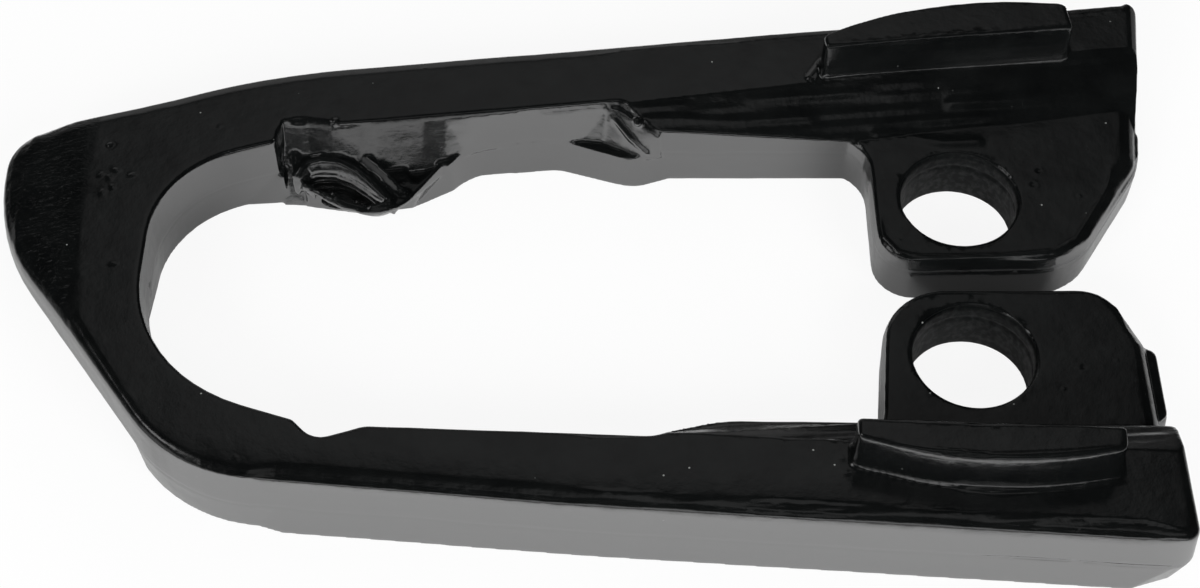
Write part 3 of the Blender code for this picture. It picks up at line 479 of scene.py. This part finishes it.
# Scuffs beside the nose band: x, y and turn in degrees
SCUFF_LENGTH = 1.3
SCUFFS = [
    (-151.8, 17.6, 60), (-149.7, 17.0, 120), (-148.4, 19.0, 160), (-149.0, 14.6, 100),
    (-151.0, 13.6, 70), (-146.6, 17.8, 30), (-147.2, -1.8, 5),
]

# Pits and grains: place, height, radius
PITS = [
    ((-150.9, 25.2, BODY_TOP), 0.35, 0.6), ((-57.4, 31.4, 15.9), -0.3, 0.5),
    ((-47.8, 29.6, 12.0), -0.3, 0.4), ((-10.0, 2.2, 6.5), -0.6, 0.5),
    ((-11.6, 2.3, 7.5), -0.4, 0.3), ((14.4, 23.6, LUG_TOP), -0.25, 0.5),
    ((13.0, 20.4, LUG_TOP), -0.15, 0.6), ((21.0, 17.6, LUG_TOP), 0.15, 0.4),
    ((-12.0, 7.8, LUG_TOP), 0.12, 0.3), ((16.6, -19.6, LUG_TOP), -0.15, 0.5),
    ((12.8, -24.0, LUG_TOP), 0.15, 0.4), ((22.4, -18.2, LUG_TOP), 0.12, 0.3),
    ((-122.0, -41.0, BODY_TOP), 0.10, 0.4), ((-96.0, 44.0, BODY_TOP), 0.12, 0.4),
    ((-132.0, 29.6, BODY_TOP), 0.12, 0.4), ((-70.0, -52.0, BODY_TOP), 0.10, 0.3),
    ((-30.0, -52.6, BODY_TOP), 0.12, 0.3), ((-128.0, 3.0, 6.0), -0.3, 0.4),
]


def waves(p, up, wall):
    """Slow waves of every face, faint runs along the walls, and the parting line round them.

    The parting line is plain near the open ends and faint elsewhere.
    """
    x, z = p[:, 0], p[:, 2]
    lift = 0.05 * lumps(p, 9.0, 1) + 0.02 * lumps(p, 2.6, 2)
    lift += up * 0.012 * lumps(p, 1.0, 7)
    lift += wall * 0.02 * lumps(p, (6.0, 6.0, 0.9), 3)
    strength = 0.09 + 0.22 * smooth(x, -12.0, 6.0)
    lift -= wall * strength * np.exp(-((z - 7.6 + 0.25 * lumps(p, 8.0, 4)) / 0.28) ** 2)
    return lift


def nose_wrinkles(p, up):
    """A sunken band of fine wrinkles on the nose, with a smoother stripe near the tip."""
    x, y = p[:, 0], p[:, 1]
    band = up * smooth(x + 0.08 * y, -153.2, -154.2)
    stripe = np.exp(-((x + 165.3) / 0.9) ** 2) * smooth(y, -10, -2)
    wrinkles = 0.040 * lumps(p, (1.9, 0.8, 1.2), 8) + 0.014 * lumps(p, (1.0, 0.5, 0.7), 9)
    lift = band * ((1 - stripe) * wrinkles + 0.25 * stripe - 0.10)
    return lift + bead(p, [(-156.2, 24, 15.2), (-156.0, 8, 15.2), (-156.4, -4, 15.2)], 0.2, 0.5)


def lower_arm_fall(p, up):
    """How far the lower arm's top falls away softly to its outer side."""
    x, y, z = p.T
    side = np.where(x > -67, -54.5 - 0.0699 * x, -49.8 - 0.0945 * (x + 67))
    top = up * smooth(z, 14.0, 15.4) * smooth(x, -146, -130) * smooth(x, 24, -6)
    return top * 0.5 * np.clip(1 - (y - side) / 8.0, 0, 1) ** 2


def ramp_streaks(p, up, across):
    """Streaks that the rubber left as it flowed along the ramps; across is the normal's Y."""
    x, y = p[:, 0], p[:, 1]
    ramp = up * smooth(np.abs(across), 0.13, 0.2) * smooth(x, -72, -62)
    runs = np.column_stack([x, y - 0.11 * x, np.zeros(len(p))])
    lift = ramp * (0.34 * lumps(runs, (24.0, 2.6, 9.0), 5) + 0.10 * lumps(runs, (11.0, 1.1, 9.0), 6))
    for path, height, width in STREAKS:
        lift += bead(p, path, height, width)
    return lift


def edges_and_marks(p):
    """Beads along edges, folds and lumps beside the ribs, flash, gouges, scuffs, pits and grains."""
    lift = np.zeros(len(p))
    for path, height, width in EDGE_BEADS:
        lift += bead(p, path, height, width)
    for place, height, radius in RIB_LUMPS:
        lift += blister(p, place, height, radius)
    for path, height, width, taper in GOUGES:
        lift += bead(p, path, height, width, taper)
    for x, y, turn in SCUFFS:
        lean = math.radians(turn)
        tip = (x + SCUFF_LENGTH * math.cos(lean), y + SCUFF_LENGTH * math.sin(lean), BODY_TOP)
        lift += bead(p, [(x, y, BODY_TOP), tip], 0.22, 0.28)
    for place, height, radius in PITS:
        lift += blister(p, place, height, radius, -0.4 * height)
    return lift


def sculpt(mesh):
    """Raise and sink the skin along its normals by the small shapes that the moulding has."""
    count = len(mesh.vertices)
    flat = np.empty(count * 3, np.float32)
    mesh.vertices.foreach_get("co", flat)
    co = flat.reshape(-1, 3).astype(float)
    normals = np.empty(count * 3, np.float32)
    mesh.vertices.foreach_get("normal", normals)
    normals = normals.reshape(-1, 3).astype(float)
    p = co / MM - np.array([MIDDLE[0], MIDDLE[1], 0.0])
    up = smooth(normals[:, 2], 0.5, 0.9)
    wall = smooth(np.abs(normals[:, 2]), 0.5, 0.2)
    lift = waves(p, up, wall) + nose_wrinkles(p, up) - lower_arm_fall(p, up)
    lift += ramp_streaks(p, up, normals[:, 1]) + edges_and_marks(p)
    co += normals * lift[:, None] * MM
    mesh.vertices.foreach_set("co", co.astype(np.float32).ravel())
    mesh.update()


class Graph:
    """A short way to write the nodes of a material."""

    def __init__(self, tree):
        self.tree = tree
        self.place = tree.nodes.new("ShaderNodeTexCoord").outputs["Object"]

    def node(self, kind, settings=None, **sockets):
        made = self.tree.nodes.new("ShaderNode" + kind)
        for name, value in (settings or {}).items():
            setattr(made, name, value)
        for name, value in sockets.items():
            key = int(name[1:]) if name[0] == "i" and name[1:].isdigit() else name.replace("_", " ")
            self.feed(made.inputs[key], value)
        return made

    def feed(self, socket, value):
        if isinstance(value, bpy.types.NodeSocket):
            self.tree.links.new(value, socket)
        else:
            socket.default_value = value

    def math(self, operation, first, second=0.0):
        return self.node("Math", {"operation": operation}, i0=first, i1=second).outputs[0]

    def step(self, value, start, end, low=0.0, high=1.0):
        made = self.node("MapRange", {"interpolation_type": "SMOOTHSTEP"}, Value=value, From_Min=start,
                         From_Max=end, To_Min=low, To_Max=high)
        return made.outputs["Result"]

    def noise(self, size, detail=2.0, stretch=None, roughness=0.5, twist=0.0):
        """Noise from 0 to 1 whose lumps have a size in mm, stretched by shares along X, Y, Z."""
        vector = self.place
        if stretch:
            vector = self.node("Mapping", {}, Vector=vector, Scale=stretch).outputs[0]
        made = self.node("TexNoise", {}, Vector=vector, Scale=1 / (size * MM), Detail=detail,
                         Roughness=roughness, Distortion=twist)
        return made.outputs["Fac"]


def rubber_material():
    """Moulded black rubber."""
    material = bpy.data.materials.new("moulded_rubber")
    material.use_nodes = True
    graph = Graph(material.node_tree)
    shader = material.node_tree.nodes["Principled BSDF"]
    shader.inputs["IOR"].default_value = RUBBER_IOR
    shader.inputs["Metallic"].default_value = 0.0

    facing = graph.node("SeparateXYZ", {}, Vector=graph.node("TexCoord").outputs["Normal"])
    place = graph.node("SeparateXYZ", {}, Vector=graph.place)
    up = graph.step(facing.outputs["Z"], 0.5, 0.9)
    nose = graph.math("MULTIPLY", up, graph.step(place.outputs["X"], *in_metres(NOSE_FINISH_X)))
    dust = rubber_colour(graph, shader, facing)
    rubber_gloss(graph, shader, facing, place, up, nose, dust)
    rubber_grain(graph, shader, facing, nose)
    return material


def rubber_colour(graph, shader, facing):
    """Black of an uneven tone with specks of dust; gives back where the dust is."""
    tone = graph.noise(7.0, 5.0, roughness=0.6)
    colour = graph.node("ValToRGB", {}, Fac=tone)
    colour.color_ramp.elements[0].position = 0.3
    colour.color_ramp.elements[0].color = (0.0022, 0.0025, 0.0026, 1.0)
    colour.color_ramp.elements[1].position = 0.7
    colour.color_ramp.elements[1].color = (0.0046, 0.0052, 0.0052, 1.0)
    cells = graph.node("TexVoronoi", {}, Vector=graph.place, Scale=1 / (3.4 * MM), Randomness=1.0)
    chosen = graph.node("SeparateColor", {}, Color=cells.outputs["Color"])
    speck = graph.math("MULTIPLY", graph.step(cells.outputs["Distance"], 0.060, 0.035),
                       graph.step(chosen.outputs[0], 0.66, 0.72))
    dust = graph.math("MULTIPLY", speck, graph.step(facing.outputs["Z"], -0.1, 0.4))
    dusted = graph.node("Mix", {"data_type": "RGBA"}, i0=dust, i6=colour.outputs["Color"],
                        i7=(0.22, 0.23, 0.22, 1.0))
    graph.feed(shader.inputs["Base Color"], dusted.outputs[2])
    return dust


def rubber_gloss(graph, shader, facing, place, up, nose, dust):
    """Uneven gloss: rough in the bores, dull on rib sides, lugs and nose, bright on the outer wall."""
    worn = graph.noise(3.0, 5.0, roughness=0.65)
    gloss = graph.step(worn, 0.25, 0.75, 0.12, 0.21)
    gloss = graph.math("SUBTRACT", gloss, graph.math("MULTIPLY", nose, 0.03))
    gloss = graph.math("ADD", gloss, graph.math("MULTIPLY", dust, 0.5))
    flat = graph.node("CombineXYZ", {}, X=place.outputs["X"], Y=place.outputs["Y"])
    bores = 0.0
    for x, y in BORES:
        far = graph.node("VectorMath", {"operation": "DISTANCE"}, i0=flat.outputs[0],
                         i1=((x + MIDDLE[0]) * MM, (y + MIDDLE[1]) * MM, 0.0)).outputs["Value"]
        bores = graph.math("ADD", bores, graph.step(far, *in_metres(BORE_FINISH)))
    torn = graph.math("MULTIPLY", bores, graph.step(graph.noise(1.1, 4.0), 0.3, 0.6, 0.8, 1.0))
    gloss = graph.math("ADD", gloss, graph.math("MULTIPLY", torn, 0.35))
    graph.feed(shader.inputs["Roughness"], gloss)
    rib = graph.math("MULTIPLY", graph.step(place.outputs["Z"], *in_metres(RIB_FINISH_Z)),
                     graph.step(facing.outputs["Y"], -0.2, -0.6))
    lug = graph.math("MULTIPLY", graph.step(place.outputs["Z"], *in_metres(LUG_FINISH_Z)), up)
    dull = graph.math("ADD", graph.math("MULTIPLY", torn, 0.40), graph.math("MULTIPLY", rib, 0.32))
    dull = graph.math("ADD", dull, graph.math("MULTIPLY", nose, 0.26))
    dull = graph.math("ADD", dull, graph.math("MULTIPLY", lug, 0.14))
    outer = graph.math("MULTIPLY", graph.step(place.outputs["Y"], *in_metres(OUTER_FINISH_Y)),
                       graph.step(facing.outputs["Z"], 0.5, 0.2))
    dull = graph.math("SUBTRACT", dull, graph.math("MULTIPLY", outer, 0.20))
    graph.feed(shader.inputs["Specular IOR Level"], graph.math("SUBTRACT", 0.5, dull))


def rubber_grain(graph, shader, facing, nose):
    """Fine grain and broad waves, wrinkles on the nose and drawn streaks on the walls."""
    grain = graph.noise(0.32, 3.0, roughness=0.6)
    fine = graph.node("Bump", {}, Strength=0.22, Distance=0.06 * MM, Height=grain)
    wave = graph.noise(1.4, 3.0)
    broad = graph.node("Bump", {}, Strength=0.16, Distance=0.25 * MM, Height=wave,
                       Normal=fine.outputs["Normal"])
    ripple = graph.noise(0.7, 3.0, stretch=(0.45, 1.0, 1.0), twist=1.2)
    wrinkle = graph.node("Bump", {}, Strength=graph.math("MULTIPLY", nose, 0.45), Distance=0.22 * MM,
                         Height=ripple, Normal=broad.outputs["Normal"])
    drawn = graph.noise(1.0, 4.0, stretch=(0.12, 0.12, 1.6), roughness=0.6)
    side = graph.step(graph.math("ABSOLUTE", facing.outputs["Z"]), 0.6, 0.2)
    streak = graph.node("Bump", {}, Strength=graph.math("MULTIPLY", side, 0.18), Distance=0.12 * MM,
                        Height=drawn, Normal=wrinkle.outputs["Normal"])
    graph.feed(shader.inputs["Normal"], streak.outputs["Normal"])


def floor():
    """A floor that the camera sees white, and reflections see with a pool of light painted near the guide
    and painted shade beyond.
    """
    bpy.ops.mesh.primitive_plane_add(size=6.0, location=(0, 0, 0))
    plane = bpy.context.object
    plane.name = "floor"
    material = bpy.data.materials.new("white_floor")
    material.use_nodes = True
    material.node_tree.nodes.clear()
    graph = Graph(material.node_tree)
    place = graph.node("SeparateXYZ", {}, Vector=graph.place)
    past = []
    for output, half in ((place.outputs[0], LIT_HALF_X), (place.outputs[1], LIT_HALF_Y)):
        beyond_edge = graph.math("SUBTRACT", graph.math("ABSOLUTE", output), half)
        past.append(graph.math("MAXIMUM", beyond_edge, 0.0))
    far = graph.node("CombineXYZ", {}, X=past[0], Y=past[1])
    reach = graph.node("VectorMath", {"operation": "LENGTH"}, i0=far.outputs[0]).outputs["Value"]
    path = graph.node("LightPath")
    mirrored = graph.math("MAXIMUM", path.outputs["Is Glossy Ray"], path.outputs["Is Transmission Ray"])
    # Painted light: for reflections the floor's colour falls from lit white to a painted shade outside a
    # rectangle round the guide; the lamps don't make this shade
    beyond = graph.step(reach, 0.0, LIT_FADE)
    lit = graph.node("BsdfDiffuse", {}, Color=(FLOOR_LIT, FLOOR_LIT, FLOOR_LIT, 1.0))
    painted_shade = graph.node("BsdfDiffuse", {}, Color=(FLOOR_PAINTED_SHADE, FLOOR_PAINTED_SHADE, FLOOR_PAINTED_SHADE, 1.0))
    ground = graph.node("MixShader", {}, i0=graph.math("MULTIPLY", mirrored, beyond),
                        i1=lit.outputs[0], i2=painted_shade.outputs[0])
    white = graph.node("Emission", {}, Strength=1.0)
    shown = graph.math("MULTIPLY", path.outputs["Is Camera Ray"], FLOOR_WHITE_SHARE)
    mix = graph.node("MixShader", {}, i0=shown, i1=ground.outputs[0], i2=white.outputs[0])
    graph.node("OutputMaterial", {}, Surface=mix.outputs[0])
    plane.data.materials.append(material)


def surroundings():
    """White where the camera looks, a dim studio of soft patches in reflections, even elsewhere."""
    world = bpy.data.worlds.new("studio")
    bpy.context.scene.world = world
    # Rays meet the world by chance and aren't aimed at its bright patches
    world.cycles.sampling_method = "NONE"
    world.use_nodes = True
    world.node_tree.nodes.clear()
    graph = Graph(world.node_tree)
    coords = graph.node("TexCoord").outputs["Generated"]
    around = 0.0
    for direction, start, full, low, high in PATCHES:
        near = graph.node("VectorMath", {"operation": "DOT_PRODUCT"}, i0=coords,
                          i1=Vector(direction).normalized()).outputs["Value"]
        around = graph.math("ADD", around, graph.step(near, start, full, low, high))
    dim = graph.node("Background", {}, Strength=around)
    even = graph.node("Background", {}, Strength=WORLD_STRENGTH)
    white = graph.node("Background", {}, Strength=1.0)
    path = graph.node("LightPath")
    mirrored = graph.math("MAXIMUM", path.outputs["Is Glossy Ray"], path.outputs["Is Transmission Ray"])
    glossy = graph.node("MixShader", {}, i0=mirrored, i1=even.outputs[0], i2=dim.outputs[0])
    camera_ray = graph.node("MixShader", {}, i0=path.outputs["Is Camera Ray"], i1=glossy.outputs[0],
                            i2=white.outputs[0])
    graph.node("OutputWorld", {}, Surface=camera_ray.outputs[0])


def lamp(name, place, size, power):
    """A square lamp aimed at the guide, which reflections don't see."""
    light = bpy.data.lights.new(name, "AREA")
    light.shape = "SQUARE"
    light.size = size
    light.energy = power
    holder = bpy.data.objects.new(name, light)
    holder.location = place
    aim = Vector((0, 0, 0)) - Vector(place)
    holder.rotation_euler = aim.to_track_quat("-Z", "Y").to_euler()
    holder.visible_glossy = False
    bpy.context.scene.collection.objects.link(holder)


def camera():
    """The photograph's camera."""
    data = bpy.data.cameras.new("view")
    data.lens = CAMERA_LENS
    data.sensor_width = 36
    data.clip_start = 0.01
    holder = bpy.data.objects.new("view", data)
    holder.location = in_metres(CAMERA)
    holder.rotation_euler = (math.radians(CAMERA_TILT), 0, 0)
    bpy.context.scene.collection.objects.link(holder)
    bpy.context.scene.camera = holder


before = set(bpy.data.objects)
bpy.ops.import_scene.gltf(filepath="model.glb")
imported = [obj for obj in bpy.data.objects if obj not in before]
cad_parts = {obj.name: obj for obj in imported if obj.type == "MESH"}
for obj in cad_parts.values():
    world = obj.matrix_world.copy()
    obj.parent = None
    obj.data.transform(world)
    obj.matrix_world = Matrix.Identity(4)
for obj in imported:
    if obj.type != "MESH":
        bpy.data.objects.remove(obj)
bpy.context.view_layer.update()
bpy.context.scene.view_settings.view_transform = "Standard"
camera()
floor()
surroundings()
for name, place, size, power in LAMPS:
    lamp(name, place, size, power)
mesh = even_skin(bpy.data.objects["chain_guide"])
sculpt(mesh)
guide = thinned(mesh, "guide_skin")
guide.data.materials.clear()
guide.data.materials.append(rubber_material())
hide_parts("chain_guide")
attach(guide, "root")
